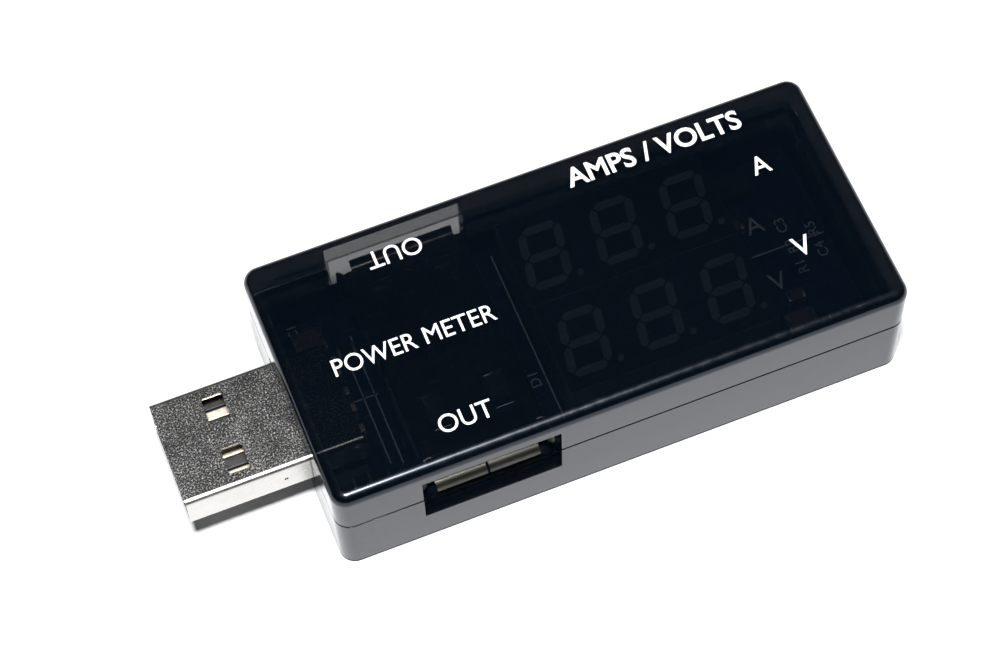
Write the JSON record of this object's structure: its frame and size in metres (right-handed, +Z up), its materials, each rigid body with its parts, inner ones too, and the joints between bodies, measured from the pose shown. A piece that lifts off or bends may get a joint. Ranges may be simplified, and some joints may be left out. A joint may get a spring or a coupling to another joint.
{
  "type": "usb power meter",
  "caption": "Pass-through USB power meter: a smoked snap-fit case with a USB-A plug on one end, a port on each long side and current and voltage displays under its roof.",
  "frame": {"origin": "under the middle of the whole length, plug included, on the plane the case rests on", "axes": "+X from the plug towards the plain end, +Y towards the back port, +Z up out of the roof that the displays show through"},
  "size_m": [0.0744, 0.0284, 0.0144],
  "materials": {
    "smoked_case": "smoked translucent, glossy",
    "nickel_shell": "nickel plated, fine orange peel",
    "black_insulator": "moulded",
    "gold_contact": "flash gold",
    "board_blue": "solder mask over glass fibre",
    "display_block": "moulded, grey face",
    "chip_black": "moulded epoxy",
    "capacitor_ceramic": "ceramic",
    "resistor_black": "glazed ceramic"
  },
  "bodies": {
    "meter": {"upper_case": "smoked_case", "lower_case": "smoked_case", "circuit_board": "board_blue", "plug_shell": "nickel_shell", "plug_insulator": "black_insulator", "current_display": "display_block", "voltage_display": "display_block", "microcontroller": "chip_black", "display_driver": "chip_black", "sense_amplifier": "chip_black", "voltage_regulator": "chip_black", "shunt_resistor": "resistor_black", "input_capacitor": "capacitor_ceramic", "output_capacitor": "capacitor_ceramic", "decoupling_capacitor_1": "capacitor_ceramic", "decoupling_capacitor_2": "capacitor_ceramic", "divider_resistor_1": "resistor_black", "divider_resistor_2": "resistor_black", "data_resistor_1": "resistor_black", "plug_contact_1": "gold_contact", "plug_contact_2": "gold_contact", "plug_contact_3": "gold_contact", "plug_contact_4": "gold_contact", "front_receptacle_shell": "nickel_shell", "front_receptacle_housing": "black_insulator", "front_contact_tail_1": "gold_contact", "front_contact_tail_2": "gold_contact", "front_contact_tail_3": "gold_contact", "front_contact_tail_4": "gold_contact", "back_receptacle_shell": "nickel_shell", "back_receptacle_housing": "black_insulator", "back_contact_tail_1": "gold_contact", "back_contact_tail_2": "gold_contact", "back_contact_tail_3": "gold_contact", "back_contact_tail_4": "gold_contact"},
    "front_contact_spring_1": {"front_contact_spring_1": "gold_contact"},
    "front_contact_spring_2": {"front_contact_spring_2": "gold_contact"},
    "front_contact_spring_3": {"front_contact_spring_3": "gold_contact"},
    "front_contact_spring_4": {"front_contact_spring_4": "gold_contact"},
    "back_contact_spring_1": {"back_contact_spring_1": "gold_contact"},
    "back_contact_spring_2": {"back_contact_spring_2": "gold_contact"},
    "back_contact_spring_3": {"back_contact_spring_3": "gold_contact"},
    "back_contact_spring_4": {"back_contact_spring_4": "gold_contact"}
  },
  "joints": [
    {"name": "front_contact_1_flex", "type": "hinge", "parent": "meter", "child": "front_contact_spring_1", "pos_m": [-0.0112, -0.0031, 0.00925], "axis": [-1, 0, 0], "range_deg": [0, 4.8], "stiffness_Nm_per_rad": 0.05},
    {"name": "front_contact_2_flex", "type": "hinge", "parent": "meter", "child": "front_contact_spring_2", "pos_m": [-0.0087, -0.0031, 0.00925], "axis": [-1, 0, 0], "range_deg": [0, 4.8], "stiffness_Nm_per_rad": 0.05},
    {"name": "front_contact_3_flex", "type": "hinge", "parent": "meter", "child": "front_contact_spring_3", "pos_m": [-0.0067, -0.0031, 0.00925], "axis": [-1, 0, 0], "range_deg": [0, 4.8], "stiffness_Nm_per_rad": 0.05},
    {"name": "front_contact_4_flex", "type": "hinge", "parent": "meter", "child": "front_contact_spring_4", "pos_m": [-0.0042, -0.0031, 0.00925], "axis": [-1, 0, 0], "range_deg": [0, 4.8], "stiffness_Nm_per_rad": 0.05},
    {"name": "back_contact_1_flex", "type": "hinge", "parent": "meter", "child": "back_contact_spring_1", "pos_m": [-0.0042, 0.0031, 0.00925], "axis": [1, 0, 0], "range_deg": [0, 4.8], "stiffness_Nm_per_rad": 0.05},
    {"name": "back_contact_2_flex", "type": "hinge", "parent": "meter", "child": "back_contact_spring_2", "pos_m": [-0.0067, 0.0031, 0.00925], "axis": [1, 0, 0], "range_deg": [0, 4.8], "stiffness_Nm_per_rad": 0.05},
    {"name": "back_contact_3_flex", "type": "hinge", "parent": "meter", "child": "back_contact_spring_3", "pos_m": [-0.0087, 0.0031, 0.00925], "axis": [1, 0, 0], "range_deg": [0, 4.8], "stiffness_Nm_per_rad": 0.05},
    {"name": "back_contact_4_flex", "type": "hinge", "parent": "meter", "child": "back_contact_spring_4", "pos_m": [-0.0112, 0.0031, 0.00925], "axis": [1, 0, 0], "range_deg": [0, 4.8], "stiffness_Nm_per_rad": 0.05}
  ]
}
